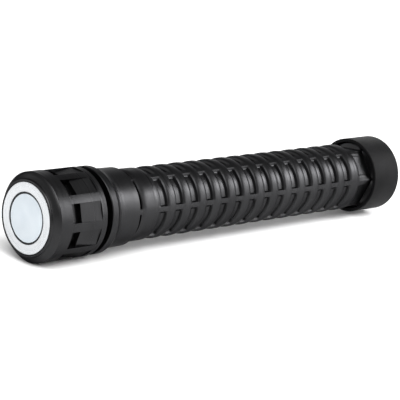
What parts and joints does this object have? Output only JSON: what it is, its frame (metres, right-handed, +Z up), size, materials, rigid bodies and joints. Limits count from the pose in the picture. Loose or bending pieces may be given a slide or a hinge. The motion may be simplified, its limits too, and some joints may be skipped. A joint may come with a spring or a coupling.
{
  "type": "tactical flashlight",
  "caption": "Long black duty flashlight with a hex-grooved grip, a scalloped tail cap with a push switch and magnetic charging face, and a shrouded lamp head.",
  "frame": {"origin": "middle of the light's length, straight under its axis, on the surface it lies on", "axes": "+X along the light's axis from the tail switch to the lamp, +Z up with the light lying on its side"},
  "size_m": [0.2498, 0.0434, 0.0434],
  "materials": {
    "tail_cap": "black anodised, satin",
    "contact_ring": "bright nickel plate",
    "insulator_ring": "moulded black",
    "charging_magnet": "nickel plated",
    "switch_button": "bright, finely blasted",
    "steel": "plain",
    "spring": "gold plated",
    "click_switch": "moulded",
    "board": "solder mask",
    "brass": "turned",
    "o_ring": "greased",
    "body_tube": "black anodised, satin",
    "cell": "shrink wrap",
    "led_board": "white solder mask",
    "led_emitter": "phosphor under a clear dome",
    "centring_ring": "moulded",
    "reflector": "vacuum metallised",
    "lens": "coated, clear",
    "head_housing": "black anodised, satin",
    "bezel_ring": "black anodised, satin",
    "head_shroud": "fine moulded grain"
  },
  "bodies": {
    "tube": {"body_tube": "body_tube", "tail_o_ring": "o_ring", "cell_rear": "cell", "cell_pole_rear": "steel", "cell_middle": "cell", "cell_pole_middle": "steel", "cell_front": "cell", "cell_pole_front": "steel", "driver_spring": "spring", "driver_board": "board", "lamp_shelf": "brass", "led_board": "led_board", "led_emitter": "led_emitter", "centring_ring": "centring_ring", "head_o_ring": "o_ring"},
    "tail_contact": {"battery_spring": "spring"},
    "tail_cap": {"tail_cap": "tail_cap", "contact_ring": "contact_ring", "insulator_ring": "insulator_ring", "charging_magnet": "charging_magnet", "return_spring": "spring", "click_switch": "click_switch", "switch_board": "board", "switch_retaining_ring": "brass"},
    "button": {"switch_button": "switch_button", "button_clip": "steel"},
    "optics": {"reflector": "reflector", "lens": "lens", "lens_o_ring": "o_ring"},
    "head": {"head_housing": "head_housing", "bezel_ring": "bezel_ring", "head_shroud": "head_shroud"}
  },
  "joints": [
    {"name": "tail_travel", "type": "slide", "parent": "tube", "child": "tail_contact", "axis": [-1, 0, 0], "range_m": [0, 0.00801]},
    {"name": "tail_turn", "type": "hinge", "parent": "tail_contact", "child": "tail_cap", "pos_m": [-0.11, 0, 0.02168], "axis": [-1, 0, 0], "range_deg": [0, 1440]},
    {"name": "button_press", "type": "slide", "parent": "tail_cap", "child": "button", "axis": [1, 0, 0], "range_m": [0, 0.0012], "stiffness_N_per_m": 1500, "springref_m": -0.001, "deforming": ["return_spring"]},
    {"name": "head_travel", "type": "slide", "parent": "tube", "child": "optics", "axis": [1, 0, 0], "range_m": [0, 0.00501]},
    {"name": "head_turn", "type": "hinge", "parent": "optics", "child": "head", "pos_m": [0.11, 0, 0.02168], "axis": [1, 0, 0], "range_deg": [0, 900]}
  ],
  "couplings": [
    {"joint": "tail_travel", "follows": "tail_turn", "m_per_rad": 0.00031831},
    {"joint": "head_travel", "follows": "head_turn", "m_per_rad": 0.00031831}
  ]
}
